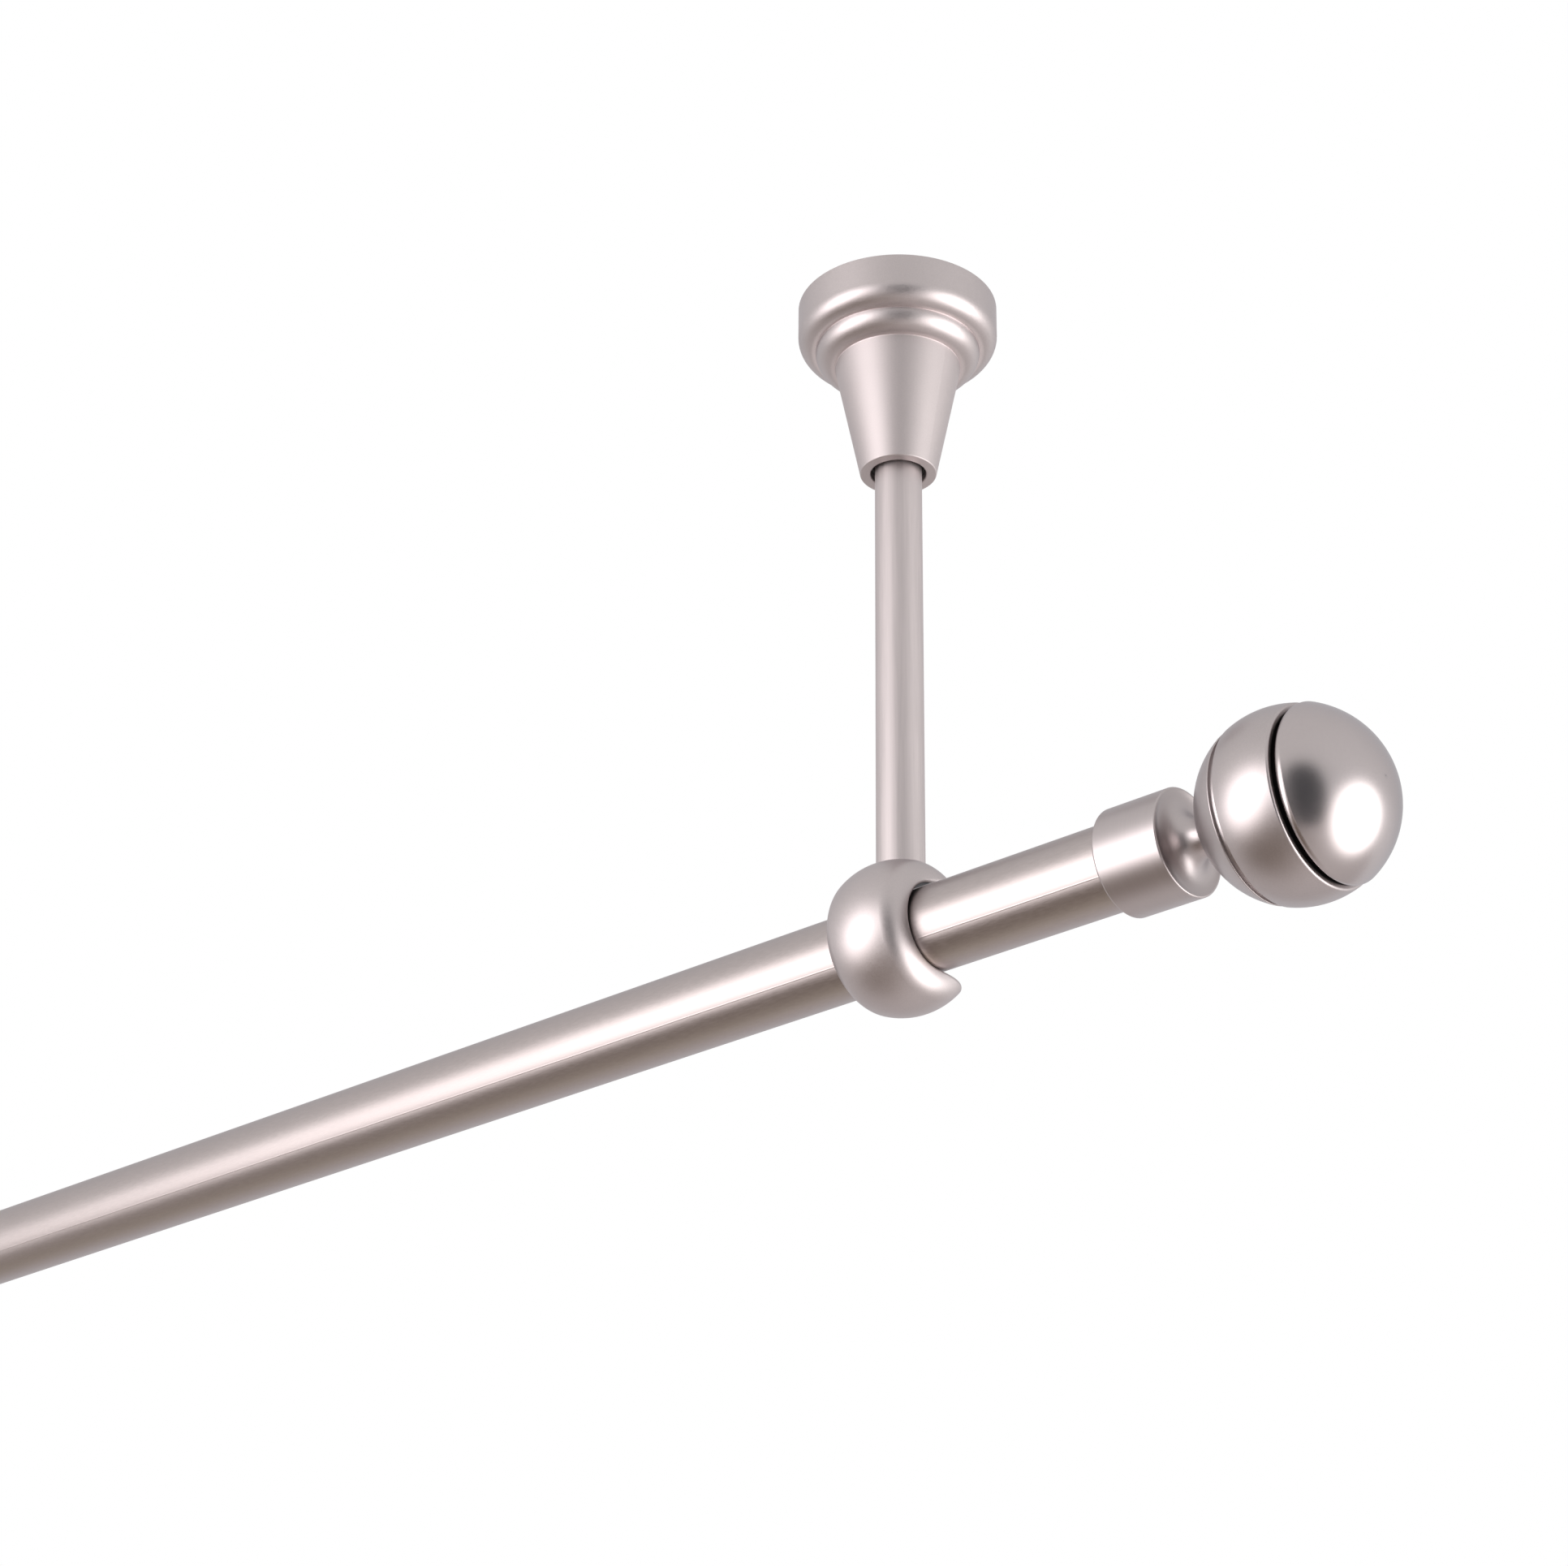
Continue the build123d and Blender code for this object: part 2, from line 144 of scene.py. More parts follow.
def noise(tree, place, scale, detail, roughness):
    """Soft random pattern from 0 to 1."""
    links = {"Vector": place, "Scale": scale, "Detail": detail, "Roughness": roughness}
    return add_node(tree, "ShaderNodeTexNoise", links).outputs["Fac"]


# Surface effects that the finishes share

broad_share = 0.12                        # of the fineness, for the broad lines
cloud_share = 0.03                        # of the fineness, for the cloud


def new_group(name, inputs, outputs):
    """An empty shader group, with the sockets that it is given and those that it gives."""
    group = bpy.data.node_groups.new(name, "ShaderNodeTree")
    for label, kind, value in inputs:
        socket = group.interface.new_socket(label, in_out="INPUT", socket_type="NodeSocket" + kind)
        if value is not None:
            socket.default_value = value
    for label in outputs:
        group.interface.new_socket(label, in_out="OUTPUT", socket_type="NodeSocketFloat")
    return group, group.nodes.new("NodeGroupInput").outputs, group.nodes.new("NodeGroupOutput").inputs


def drawn_lines_group():
    """Fine lines that run along X, as on drawn or lengthwise rubbed metal."""
    group, given, result = new_group(
        "drawn_lines",
        [("Vector", "Vector", None), ("Stretch", "Float", 0.02), ("Fineness", "Float", 2500.0)],
        ["Lines", "Broad"],
    )
    squeeze = add_node(group, "ShaderNodeCombineXYZ", {0: given["Stretch"], 1: 1.0, 2: 1.0}).outputs[0]
    place = vector_maths(group, "MULTIPLY", given["Vector"], squeeze)
    broad_scale = maths(group, "MULTIPLY", given["Fineness"], broad_share)
    group.links.new(noise(group, place, given["Fineness"], 3.0, 0.6), result["Lines"])
    group.links.new(noise(group, place, broad_scale, 2.0, 0.5), result["Broad"])
    return group


def turned_lines_group():
    """Fine rings about X, as a lathe leaves them."""
    group, given, result = new_group(
        "turned_lines", [("Vector", "Vector", None), ("Fineness", "Float", 3000.0)], ["Lines"],
    )
    x, y, z = coordinates(group, given["Vector"])
    place = add_node(group, "ShaderNodeCombineXYZ", {0: x, 1: round_axis(group, y, z)}).outputs[0]
    group.links.new(noise(group, place, given["Fineness"], 2.0, 0.55), result["Lines"])
    return group


def pearl_grain_group():
    """The fine, even sparkle of a sprayed or bead-blasted plating."""
    group, given, result = new_group(
        "pearl_grain", [("Vector", "Vector", None), ("Fineness", "Float", 3500.0)], ["Grain", "Cloud"],
    )
    cloud_scale = maths(group, "MULTIPLY", given["Fineness"], cloud_share)
    group.links.new(noise(group, given["Vector"], given["Fineness"], 2.0, 0.7), result["Grain"])
    group.links.new(noise(group, given["Vector"], cloud_scale, 2.0, 0.5), result["Cloud"])
    return group


drawn_lines = drawn_lines_group()
turned_lines = turned_lines_group()
pearl_grain = pearl_grain_group()


def place_group(tree, group, links):
    """Puts a shared effect into a material."""
    return add_node(tree, "ShaderNodeGroup", links, node_tree=group).outputs


def lengthwise(fineness, stretch):
    """Pattern of lines along X."""
    def make(tree, place):
        lines = place_group(tree, drawn_lines, {"Vector": place, "Fineness": fineness, "Stretch": stretch})
        return lines["Lines"], lines["Broad"]
    return make


def ringed(fineness):
    """Pattern of turned rings about X over a faint cloud."""
    def make(tree, place):
        rings = place_group(tree, turned_lines, {"Vector": place, "Fineness": fineness})
        return rings["Lines"], place_group(tree, pearl_grain, {"Vector": place})["Cloud"]
    return make


def pearly(fineness):
    """Pattern of even sparkle."""
    def make(tree, place):
        pearl = place_group(tree, pearl_grain, {"Vector": place, "Fineness": fineness})
        return pearl["Grain"], pearl["Cloud"]
    return make


# Metal finishes

nickel = (0.50, 0.452, 0.447, 1.0)
tube_nickel = (0.47, 0.418, 0.406, 1.0)
nickel_edge = (0.72, 0.73, 0.76, 1.0)     # tint where the metal turns away
bare_steel = (0.52, 0.52, 0.51, 1.0)
zinc_plate = (0.55, 0.53, 0.48, 1.0)
black_oxide = (0.06, 0.06, 0.065, 1.0)


def new_material(name):
    """A material with only a Principled shader, whose pattern space is the piece's own metres."""
    material = bpy.data.materials.new(name)
    material.use_nodes = True
    tree = material.node_tree
    tree.nodes.clear()
    shader = tree.nodes.new("ShaderNodeBsdfPrincipled")
    add_node(tree, "ShaderNodeOutputMaterial", {"Surface": shader.outputs[0]})
    place = tree.nodes.new("ShaderNodeTexCoord").outputs["Object"]
    return material, tree, shader, place


def shade(colour, factor):
    """A colour made lighter or darker."""
    return tuple(part * factor for part in colour[:3]) + (1.0,)


def bump(tree, shader, height, strength, distance):
    """Raises the surface's fine relief."""
    node = add_node(tree, "ShaderNodeBump", {"Height": height, "Strength": strength, "Distance": distance})
    tree.links.new(node.outputs[0], shader.inputs["Normal"])


def satin_metal(name, pattern, colour=nickel, roughness=0.3, spread=0.05, relief=0.05, tint=0.03,
                grain=0.04, turn=(0.0, 0.0, 0.0), extra=None):
    """Satin plated metal. pattern makes, from a place, a fine mask and a broad one.

    relief is in tenths of a millimetre. extra may change the colour, roughness and height from the
    place about the crossing.
    """
    material, tree, shader, place = new_material(name)
    shader.inputs["Metallic"].default_value = 1.0
    shader.inputs["Specular Tint"].default_value = nickel_edge
    centred = vector_maths(tree, "SUBTRACT", place, tuple(crossing))
    mapping = add_node(tree, "ShaderNodeMapping", {"Vector": centred, "Rotation": turn})
    fine, broad = pattern(tree, mapping.outputs[0])
    mottled = blend_colour(tree, broad, shade(colour, 1 - tint), shade(colour, 1 + tint))
    colours = vector_maths(tree, "MULTIPLY", mottled, ramp(tree, fine, 0.3, 0.7, 1 - grain, 1 + grain))
    rough = ramp(tree, fine, 0.25, 0.75, roughness - spread, roughness + spread)
    height = maths(tree, "MULTIPLY", fine, relief * 0.1 * mm)
    if extra:
        colours, rough, height = extra(tree, centred, colours, rough, height)
    tree.links.new(colours, shader.inputs["Base Color"])
    tree.links.new(rough, shader.inputs["Roughness"])
    bump(tree, shader, height, 1.0, 1.0)
    return material


# What changes at one place of a part. Angles go round the rod, from 0 on its front (-Y) up. The
# edges, starts and ends are pairs: where a change begins and where it is full

seam_low, seam_high = math.radians(-35.4), math.radians(-34.8)       # the seam wanders between these
seam_wander = 60.0                        # how closely its bends follow each other
seam_half_width = math.radians(1.5)
seam_height = 0.016 * mm
seam_polish = 0.08
swelling_angles = math.radians(-50), math.radians(-17)               # fullest below, true round above
fullness = 0.21 * mm
# Painted brown shade along the underside of the rod: where it is centred, how far it reaches, and its tint
underside_shade_angle, underside_shade_half_width = math.radians(-67), math.radians(26)
underside_shade_tint = (0.85, 0.83, 0.76)


def weld_seam_and_underside_shade(tree, place, colours, rough, height):
    """The tube's burnished weld seam, a hair-thin ridge along the rod, low on its front.

    The tube is a little fuller below the seam than a true round, and its colour is darkened there with a
    painted brown shade.
    """
    x, y, z = coordinates(tree, place)
    angle = maths(tree, "ARCTAN2", z, maths(tree, "MULTIPLY", y, -1.0))
    seam_angle = ramp(tree, noise(tree, place, seam_wander, 2.0, 0.5), 0.2, 0.8, seam_low, seam_high)
    ridge = hump(tree, maths(tree, "SUBTRACT", angle, seam_angle), 0.0, seam_half_width)
    raised = maths(tree, "MULTIPLY", ridge, seam_height)
    swelling = ramp(tree, angle, *swelling_angles, fullness, 0.0)
    return (
        tinted(tree, colours, hump(tree, angle, underside_shade_angle, underside_shade_half_width), underside_shade_tint),
        maths(tree, "ADD", rough, maths(tree, "MULTIPLY", ridge, -seam_polish)),
        maths(tree, "ADD", height, maths(tree, "ADD", raised, swelling)),
    )


bore_lift = 0.35 * mm                     # of the hook's bore over the rod's axis
bore_edge = 9.92 * mm, 10.02 * mm         # radii round the bore's axis
# Colour factor of the painted shade on the bore's wall
bore_shade = 0.12


def hook_bore_shade(tree, place, colours, rough, height):
    """Painted shade on the bore's wall, between rod and hook."""
    x, y, z = coordinates(tree, place)
    radius = round_axis(tree, y, maths(tree, "SUBTRACT", z, bore_lift))
    inside = ramp(tree, radius, *bore_edge, 1.0, 0.0)
    return shaded(tree, colours, inside, bore_shade), rough, height


band_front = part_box("finial_ball_right")[1].x
gap_start = -0.12 * mm, -0.02 * mm        # outwards from the band's front
gap_end = 0.8 * mm, 0.95 * mm
gap_edge = 18.2 * mm, 18.9 * mm           # radii round the rod's axis
# Colour factor of the painted shade in the groove
gap_shade = 0.15


def finial_gap_shade(tree, place, colours, rough, height):
    """Painted shade on the walls of the open groove between band and cap, at both ends of the rod."""
    x, y, z = coordinates(tree, place)
    outwards = maths(tree, "ABSOLUTE", maths(tree, "ADD", x, crossing.x))
    from_band = maths(tree, "SUBTRACT", outwards, band_front)
    past_band = ramp(tree, from_band, *gap_start)
    before_cap = ramp(tree, from_band, *gap_end, 1.0, 0.0)
    deep = ramp(tree, round_axis(tree, y, z), *gap_edge, 1.0, 0.0)
    mask = maths(tree, "MULTIPLY", maths(tree, "MULTIPLY", past_band, before_cap), deep)
    return shaded(tree, colours, mask, gap_shade), rough, height


first_crease, second_crease = 11.8 * mm, 16.3 * mm       # depths below the ceiling
crease_half_width = 0.3 * mm
# Colour factor of the painted highlight along each crease
crease_highlight = 1.35
step_edge = 14.5 * mm, 17.0 * mm                         # radii round the stem's axis
step_polish = 0.11


def cover_steps(tree, place, colours, rough, height):
    """Steps polished brighter than the cone, and a fine painted highlight along each crease."""
    x, y, z = coordinates(tree, place)
    outwards = maths(tree, "ABSOLUTE", maths(tree, "ADD", x, crossing.x))
    radius = round_axis(tree, maths(tree, "SUBTRACT", outwards, crossing.x), y)
    depth = maths(tree, "SUBTRACT", -crossing.z, z)
    polish = ramp(tree, radius, *step_edge, 0.0, -step_polish)
    crease_highlight_mask = maths(
        tree, "MAXIMUM",
        hump(tree, depth, first_crease, crease_half_width),
        hump(tree, depth, second_crease, crease_half_width),
    )
    return shaded(tree, colours, crease_highlight_mask, crease_highlight), maths(tree, "ADD", rough, polish), height


# The finish of each part

upright = (0.0, math.radians(90), 0.0)    # turns a pattern along X to one along Z

metals = {
    "rod_satin": dict(
        pattern=lengthwise(3500.0, 0.15), colour=tube_nickel, roughness=0.37, spread=0.03, relief=0.05,
        tint=0.02, extra=weld_seam_and_underside_shade,
    ),
    "stem_satin": dict(
        pattern=lengthwise(2600.0, 0.02), colour=shade(nickel, 1.13), roughness=0.49, spread=0.05,
        relief=0.1, turn=upright,
    ),
    "cover_satin": dict(
        pattern=pearly(3200.0), colour=shade(nickel, 1.05), roughness=0.53, relief=0.1, extra=cover_steps,
    ),
    "hook_satin": dict(
        pattern=pearly(3200.0), colour=shade(nickel, 1.06), roughness=0.43, relief=0.1, extra=hook_bore_shade,
    ),
    "socket_turned": dict(
        pattern=ringed(2500.0), roughness=0.38, spread=0.015, relief=0.01, grain=0.015,
    ),
    "ball_satin": dict(
        pattern=pearly(3000.0), roughness=0.36, spread=0.02, relief=0.03, grain=0.03, extra=finial_gap_shade,
    ),
    "cap_polished": dict(
        pattern=pearly(3000.0), roughness=0.26, spread=0.01, relief=0.012, grain=0.02, extra=finial_gap_shade,
    ),
    "plate_steel": dict(pattern=pearly(1500.0), colour=bare_steel, roughness=0.38, relief=0.1),
    "stud_steel": dict(pattern=pearly(2500.0), colour=zinc_plate, roughness=0.35, relief=0.1),
    "screw_steel": dict(pattern=pearly(2500.0), colour=black_oxide, roughness=0.38, relief=0.1),
}
materials = {name: satin_metal(name, **finish) for name, finish in metals.items()}

rubber_dark = (0.02, 0.019, 0.018, 1)
rubber_pale = (0.035, 0.033, 0.03, 1)


def rubber():
    """Dull black rubber of the grip ring."""
    material, tree, shader, place = new_material("ring_rubber")
    pearl = place_group(tree, pearl_grain, {"Vector": place, "Fineness": 1800.0})
    tree.links.new(blend_colour(tree, pearl["Cloud"], rubber_dark, rubber_pale), shader.inputs["Base Color"])
    tree.links.new(ramp(tree, pearl["Grain"], 0.3, 0.7, 0.5, 0.65), shader.inputs["Roughness"])
    bump(tree, shader, pearl["Grain"], 0.2, 0.1 * mm)
    return material


materials["ring_rubber"] = rubber()

finishes = {
    "ceiling_plate": "plate_steel",
    "stem": "stem_satin",
    "ceiling_cover": "cover_satin",
    "cover_grip_ring": "ring_rubber",
    "rod_hook": "hook_satin",
    "finial_socket": "socket_turned",
    "finial_ball": "ball_satin",
    "finial_dome_cap": "cap_polished",
}


def dress(node, finish):
    """Gives a CAD node its finish."""
    slots = nodes[node].data.materials
    slots.clear()
    slots.append(materials[finish])


dress("rod", "rod_satin")
for side in sides:
    for piece, finish in finishes.items():
        dress(f"{piece}_{side}", finish)


# Studs and grub screws with cut threads, in place of the plain ones

thread_steps = 24
thread_profile = ((0.0, 0.0), (0.0, 0.15), (0.6, 0.5), (0.6, 0.65))   # depth and place, in pitches
same_height = 0.001 * mm
sharp_angle = math.radians(25)


def rim_at(mesh, height):
    """Open edges of a mesh that lie at one height."""
    return [
        edge for edge in mesh.edges
        if edge.is_boundary and all(abs(vert.co.z - height) < same_height for vert in edge.verts)
    ]


def drawn_out(mesh, edges, offset, scale):
    """Extrudes open edges, moves the new ones along Z and scales them about the axis."""
    new = bmesh.ops.extrude_edge_only(mesh, edges=edges)["geom"]
    verts = [part for part in new if isinstance(part, bmesh.types.BMVert)]
    bmesh.ops.translate(mesh, verts=verts, vec=(0, 0, offset))
    bmesh.ops.scale(mesh, verts=verts, vec=(scale, scale, 1))
    return [part for part in new if isinstance(part, bmesh.types.BMEdge)]


def threaded_bar(length, outer, pitch, edge, tip):
    """A thread about Z from 0 to length. edge and tip are the chamfers of its upper and lower end."""
    mesh = bmesh.new()
    corners = [
        mesh.verts.new((outer - depth * pitch, 0, (turn + share) * pitch))
        for turn in range(-2, math.ceil(length / pitch) + 1)
        for depth, share in thread_profile
    ]
    line = [mesh.edges.new(pair) for pair in zip(corners, corners[1:])]
    bmesh.ops.spin(
        mesh, geom=corners + line, axis=(0, 0, 1), dvec=(0, 0, pitch / thread_steps),
        angle=math.tau, steps=thread_steps,
    )
    bmesh.ops.remove_doubles(mesh, verts=mesh.verts, dist=0.01 * pitch)
    for height, way, chamfer in ((tip, -1, tip), (length - edge, 1, edge)):
        bmesh.ops.bisect_plane(
            mesh, geom=mesh.verts[:] + mesh.edges[:] + mesh.faces[:],
            plane_co=(0, 0, height), plane_no=(0, 0, way), clear_outer=True,
        )
        drawn_out(mesh, rim_at(mesh, height), way * chamfer, (outer - chamfer) / outer)
    return mesh


def hexagon_socket(mesh, length, width, depth):
    """Closes the upper end round a hexagon socket."""
    rim = rim_at(mesh, length)
    made = bmesh.ops.create_circle(mesh, segments=6, radius=width / math.sqrt(3))["verts"]
    bmesh.ops.translate(mesh, verts=made, vec=(0, 0, length))
    mouth = list({edge for vert in made for edge in vert.link_edges})
    bmesh.ops.bridge_loops(mesh, edges=rim + mouth)
    bmesh.ops.holes_fill(mesh, edges=drawn_out(mesh, mouth, -depth, 1))


def fastener(node, body, start, direction, length, outer, pitch, edge, tip, finish, hexagon=None):
    """A threaded piece from a start point along a direction, which stands for a CAD node."""
    mesh = threaded_bar(length, outer, pitch, edge, tip)
    if hexagon:
        hexagon_socket(mesh, length, *hexagon)
    bmesh.ops.holes_fill(mesh, edges=[edge for edge in mesh.edges if edge.is_boundary])
    bmesh.ops.recalc_face_normals(mesh, faces=mesh.faces)
    place = Matrix.Translation(start) @ direction.to_track_quat("Z", "Y").to_matrix().to_4x4()
    bmesh.ops.transform(mesh, matrix=place, verts=mesh.verts)
    for face in mesh.faces:
        face.smooth = True
    piece = new_object(node + "_thread", mesh)
    piece.data.set_sharp_from_angle(angle=sharp_angle)
    piece.data.materials.append(materials[finish])
    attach(piece, body)
    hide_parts(node)


up, along, back = Vector((0, 0, 1)), Vector((1, 0, 0)), Vector((0, 1, 0))
stud = dict(edge=0.4 * mm, tip=0.4 * mm, finish="stud_steel")
stem_pitch, joining_pitch = 1.0 * mm, 0.8 * mm
grub_screw = dict(outer=2.0 * mm, pitch=0.7 * mm, edge=0.15 * mm, tip=0.7 * mm, finish="screw_steel")
hexagon_width = 2.0 * mm
screw_tip_radius = rod_radius + 0.05 * mm
clamp_length = 6.55 * mm
clamp_angle = math.radians(-50)            # from +Y towards -Z
clamp_direction = Vector((0, math.cos(clamp_angle), math.sin(clamp_angle)))
clamp_hexagon_depth = 1.6 * mm
socket_hexagon_depth = 1.4 * mm

for side in sides:
    finial_body = "finial_" + side
    for name, body, direction, pitch in (
        ("stem_upper_stud_" + side, "hanger", up, stem_pitch),
        ("stem_lower_stud_" + side, "hanger", up, stem_pitch),
        ("finial_joining_stud_" + side, finial_body, along, joining_pitch),
    ):
        low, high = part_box(name)
        length = (high - low).dot(direction)
        outer = (high.y - low.y) / 2
        start = middle(name) - direction * length / 2
        fastener(name, body, start, direction, length, outer, pitch, **stud)
    start = Vector((bracket[side].x, rod_axis.y, rod_axis.z)) + clamp_direction * screw_tip_radius
    fastener(
        "rod_clamp_screw_" + side, "hanger", start, clamp_direction, clamp_length,
        hexagon=(hexagon_width, clamp_hexagon_depth), **grub_screw,
    )
    name = "finial_socket_screw_" + side
    start = Vector((middle(name).x, rod_axis.y + screw_tip_radius, rod_axis.z))
    fastener(
        name, finial_body, start, back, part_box(name)[1].y - start.y,
        hexagon=(hexagon_width, socket_hexagon_depth), **grub_screw,
    )


# Camera, solved from the photograph

photo_width = 1932
focal_pixels = 4362.0
camera_offset = Vector((451.45, -545.93, -314.42)) * mm     # from the crossing of rod and stem
camera_heading = math.radians(131.69)                       # from +X towards +Y
camera_pitch = math.radians(26.467)
camera_roll = math.radians(0.585)

camera_data = bpy.data.cameras.new("camera")
camera_data.sensor_width = 36.0
camera_data.lens = camera_data.sensor_width * focal_pixels / photo_width
camera_data.clip_start = 0.01
camera_data.clip_end = 50.0
camera = bpy.data.objects.new("camera", camera_data)
scene.collection.objects.link(camera)
look = Vector((
    math.cos(camera_heading) * math.cos(camera_pitch),
    math.sin(camera_heading) * math.cos(camera_pitch),
    math.sin(camera_pitch),
))
turned = look.to_track_quat("-Z", "Y").to_matrix().to_4x4() @ Matrix.Rotation(camera_roll, 4, "Z")
camera.matrix_world = Matrix.Translation(crossing + camera_offset) @ turned
scene.camera = camera


# Studio: two soft lamps on either side of the camera, a pale room, a floor and a dark screen

lamp_distance = 1.5


def towards(azimuth, elevation):
    """Direction at an azimuth from -Y towards +X and an elevation, in degrees."""
    a, e = math.radians(azimuth), math.radians(elevation)
    return Vector((math.sin(a) * math.cos(e), -math.cos(a) * math.cos(e), math.sin(e)))


def soft_lamp(name, azimuth, elevation, tilt, width, height, radiance, colour, edge):
    """An oval softbox that faces the near bracket, seen by shiny metal but not by the camera.

    Its face keeps the full radiance up to a share of its half width and fades out to the rim.
    """
    data = bpy.data.lights.new(name, "AREA")
    data.shape = "ELLIPSE"
    data.size = width
    data.size_y = height
    area = math.pi * width * height / 4
    data.energy = radiance * math.pi * area
    data.color = colour
    data.use_nodes = True
    tree = data.node_tree
    face = add_node(tree, "ShaderNodeNewGeometry").outputs["Parametric"]
    centred = vector_maths(tree, "SUBTRACT", face, (0.5, 0.5, 0))
    unit_oval = vector_maths(tree, "MULTIPLY", centred, (2, 2, 0))
    away = vector_maths(tree, "LENGTH", unit_oval)
    glow = next(node for node in tree.nodes if node.bl_idname == "ShaderNodeEmission")
    tree.links.new(ramp(tree, away, edge, 1.0, 1.0, 0.0), glow.inputs["Strength"])
    lamp = bpy.data.objects.new(name, data)
    scene.collection.objects.link(lamp)
    direction = towards(azimuth, elevation)
    lamp.location = crossing + direction * lamp_distance
    lamp.rotation_mode = "QUATERNION"
    spin = Quaternion((0, 0, 1), math.radians(tilt))
    lamp.rotation_quaternion = direction.to_track_quat("Z", "Y") @ spin
    lamp.visible_camera = False


soft_lamp(
    "left_lamp", azimuth=-21, elevation=-4, tilt=29, width=2.9, height=1.85,
    radiance=3.3, colour=(1.0, 0.97, 0.985), edge=0.3,
)
soft_lamp(
    "right_lamp", azimuth=111, elevation=-21, tilt=0, width=2.25, height=2.12,
    radiance=3.2, colour=(1.0, 0.99, 0.99), edge=0.55,
)

white = (1, 1, 1, 1)
room_low = (0.62, 0.60, 0.59, 1)
room_level = (0.70, 0.70, 0.71, 1)
room_high = (0.84, 0.83, 0.83, 1)
room_back = (0.97, 0.96, 0.96, 1)         # behind the rod, low on the wall
room_end = (0.98, 0.98, 0.99, 1)          # past the rod's near end
room_end_share = 0.35
white_in_metal = 0.1                      # share of the white that shiny metal sees


def light_paths(tree):
    """The kinds of ray, and a mask of those that show the background as it is."""
    rays = tree.nodes.new("ShaderNodeLightPath").outputs
    return rays, maths(tree, "MAXIMUM", rays["Is Camera Ray"], rays["Is Transmission Ray"])


def room():
    """World: white to the camera, and a pale studio room to everything else.

    The room's tones go by the parts of the direction looked in, each from -1 to 1.
    """
    world = bpy.data.worlds.new("room")
    scene.world = world
    world.use_nodes = True
    tree = world.node_tree
    tree.nodes.clear()
    direction = tree.nodes.new("ShaderNodeTexCoord").outputs["Generated"]
    x, y, height = coordinates(tree, direction)
    upper = blend_colour(tree, ramp(tree, height, 0.0, 0.5), room_level, room_high)
    walls = blend_colour(tree, ramp(tree, height, -0.5, 0.0), room_low, upper)
    behind = maths(tree, "MULTIPLY", ramp(tree, y, -0.1, 0.5), ramp(tree, height, 0.0, 0.4, 1.0, 0.0))
    walls = blend_colour(tree, behind, walls, room_back)
    walls = blend_colour(tree, ramp(tree, x, 0.2, 1.0, 0.0, room_end_share), walls, room_end)
    rays, seen = light_paths(tree)
    in_metal = maths(tree, "MULTIPLY", rays["Is Glossy Ray"], white_in_metal)
    colour = blend_colour(tree, maths(tree, "MAXIMUM", seen, in_metal), walls, white)
    background = add_node(tree, "ShaderNodeBackground", {"Color": colour, "Strength": 1.0})
    add_node(tree, "ShaderNodeOutputWorld", {"Surface": background.outputs[0]})


room()

floor_height = -2.4
floor_radius = 9.0
floor_fade_radius = 0.45 * floor_radius
floor_seen = (0.92, 0.92, 0.92, 1)
floor_dark = (0.24, 0.19, 0.155, 1)
floor_pale = (0.8, 0.76, 0.75, 1)
dark_spot = crossing + towards(-35, 0) * 1.9
dark_spot_radius, pale_radius = 0.9, 3.0


def floor():
    """Plain floor at room height below the ceiling, fading out into the white.

    The camera sees it pale. All else sees it darker round a spot in front of the rod, to the left.
    """
    mesh = bmesh.new()
    bmesh.ops.create_circle(mesh, cap_ends=True, segments=96, radius=floor_radius)
    bmesh.ops.translate(mesh, verts=mesh.verts, vec=(0, 0, floor_height))
    ground = new_object("floor", mesh)
    material, tree, shader, place = new_material("floor")
    rays, seen = light_paths(tree)
    from_spot = vector_maths(tree, "DISTANCE", place, (dark_spot.x, dark_spot.y, floor_height))
    paler = ramp(tree, from_spot, dark_spot_radius, pale_radius)
    tone = blend_colour(tree, seen, blend_colour(tree, paler, floor_dark, floor_pale), floor_seen)
    tree.links.new(tone, shader.inputs["Base Color"])
    shader.inputs["Roughness"].default_value = 0.9
    shader.inputs["Specular IOR Level"].default_value = 0.0
    distance = vector_maths(tree, "LENGTH", vector_maths(tree, "MULTIPLY", place, (1, 1, 0)))
    shown = ramp(tree, distance, floor_fade_radius, floor_radius, 1.0, 0.0)
    tree.links.new(shown, shader.inputs["Alpha"])
    ground.data.materials.append(material)


floor()

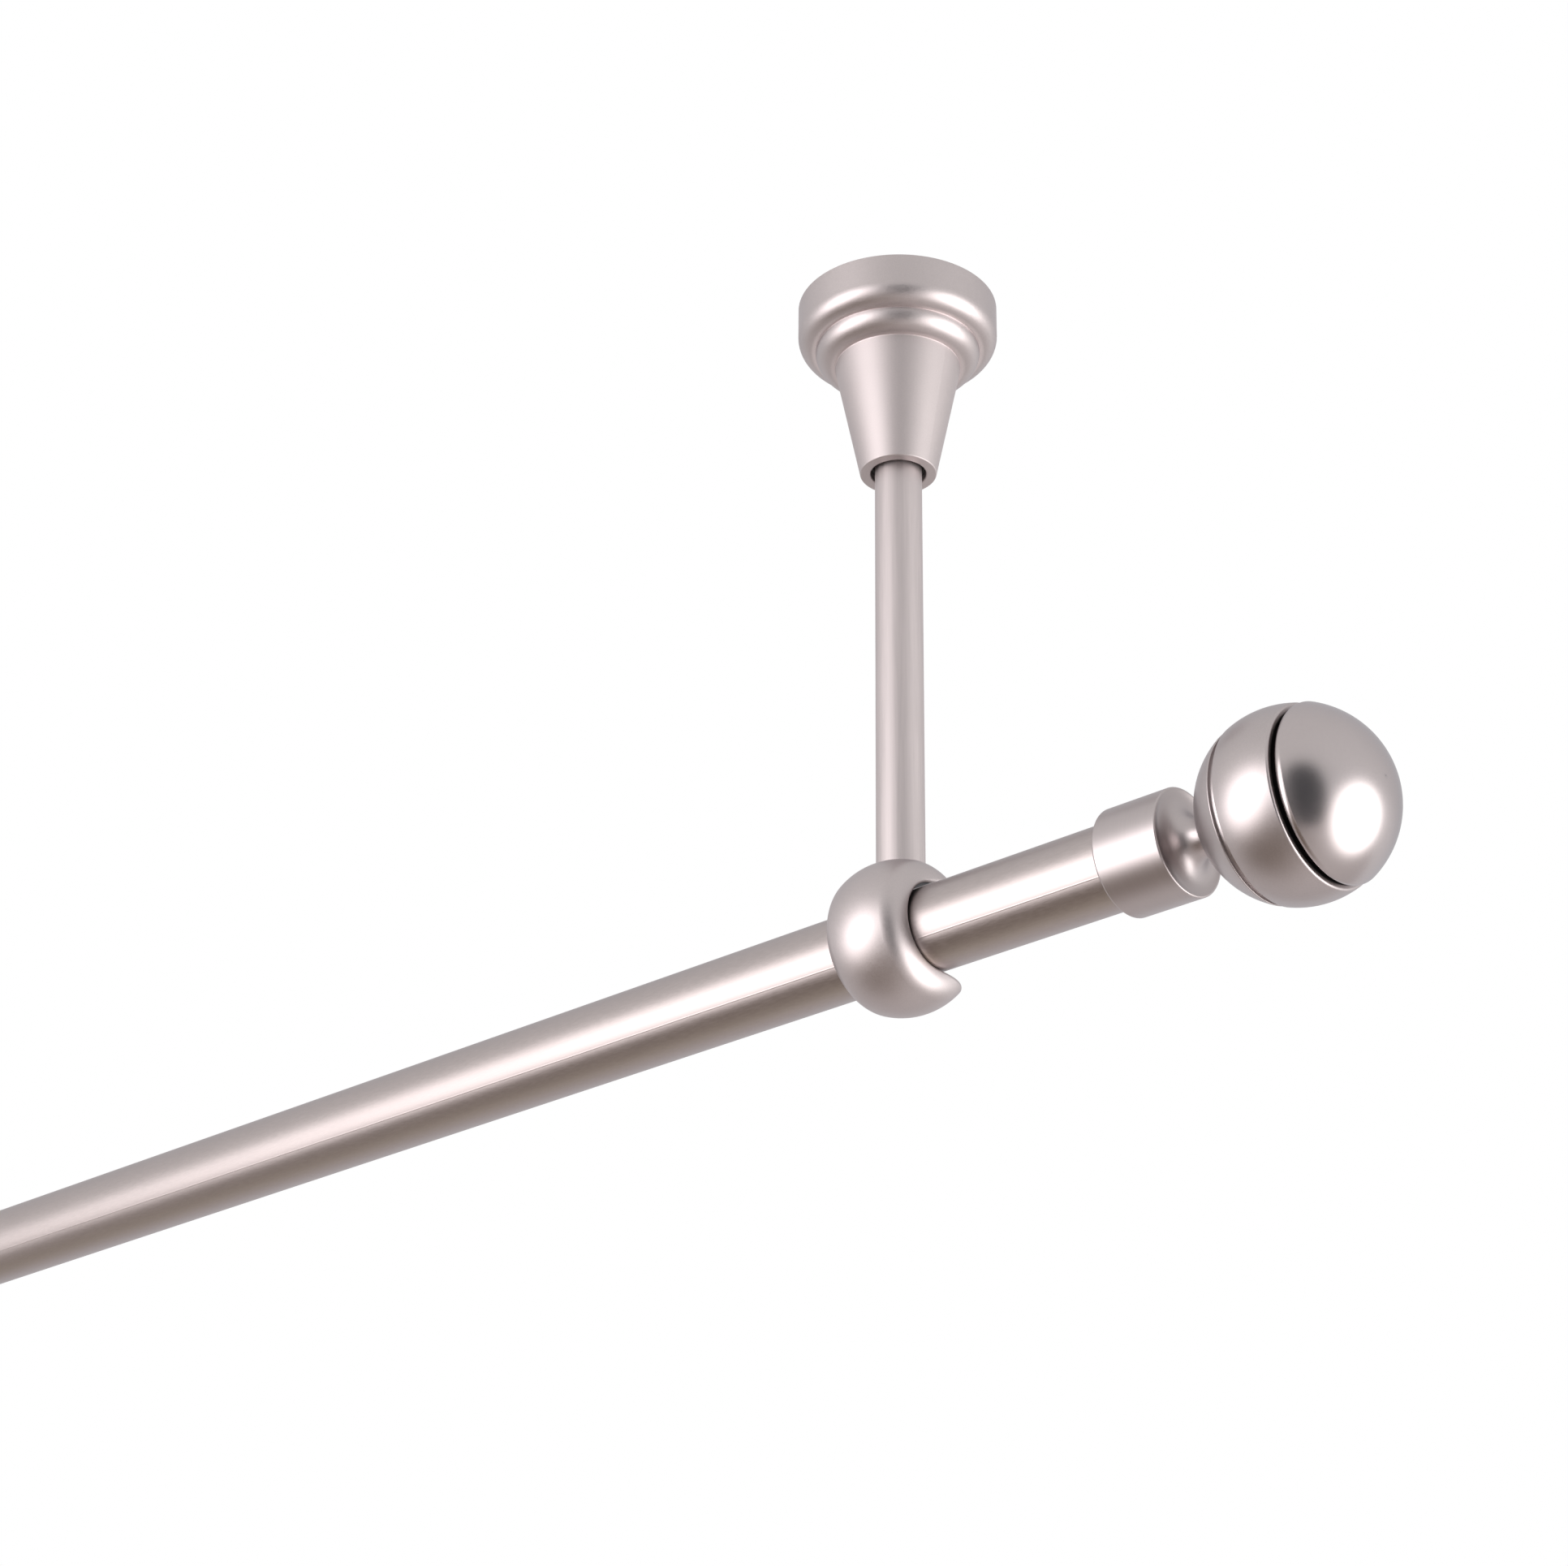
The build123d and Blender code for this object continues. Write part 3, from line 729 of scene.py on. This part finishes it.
screen_width, screen_height = 1.42, 2.5
screen_direction = towards(47, -19.5)
screen_distance = 1.35
screen_lean = math.radians(12)            # its top towards the rod's far end
screen_full = 0.35                        # product of its two fades from which it is full
screen_colour = (0.06, 0.064, 0.072, 1)


def dark_screen():
    """Soft dark screen behind the camera, which only shiny metal sees."""
    mesh = bmesh.new()
    bmesh.ops.create_grid(mesh, x_segments=1, y_segments=1, size=0.5)
    bmesh.ops.scale(mesh, verts=mesh.verts, vec=(screen_width, screen_height, 1))
    level_way = Vector((screen_direction.x, screen_direction.y, 0))
    turn = level_way.to_track_quat("Z", "Y").to_matrix().to_4x4()
    lean = Matrix.Rotation(screen_lean, 4, "Z")
    place = Matrix.Translation(crossing + screen_direction * screen_distance) @ turn @ lean
    bmesh.ops.transform(mesh, verts=mesh.verts, matrix=place)
    screen = new_object("dark_screen", mesh)
    material = bpy.data.materials.new("dark_screen")
    material.use_nodes = True
    tree = material.node_tree
    tree.nodes.clear()
    here = tree.nodes.new("ShaderNodeTexCoord").outputs["Object"]
    from_middle = vector_maths(tree, "SUBTRACT", here, tuple(place.translation))
    unturned = add_node(
        tree, "ShaderNodeVectorRotate", {"Vector": from_middle, "Rotation": tuple(place.to_euler())},
        rotation_type="EULER_XYZ", invert=True,
    )
    x, y, z = coordinates(tree, unturned.outputs[0])
    across = hump(tree, x, 0.0, screen_width / 2)
    upward = hump(tree, y, 0.0, screen_height / 2)
    cover = ramp(tree, maths(tree, "MULTIPLY", across, upward), 0.0, screen_full)
    glow = add_node(tree, "ShaderNodeEmission", {"Color": screen_colour, "Strength": 1.0})
    clear = add_node(tree, "ShaderNodeBsdfTransparent")
    mixed = add_node(tree, "ShaderNodeMixShader", {0: cover, 1: clear.outputs[0], 2: glow.outputs[0]})
    add_node(tree, "ShaderNodeOutputMaterial", {"Surface": mixed.outputs[0]})
    screen.data.materials.append(material)
    screen.visible_camera = False
    screen.visible_diffuse = False
    screen.visible_shadow = False


dark_screen()

scene.view_settings.view_transform = "Standard"
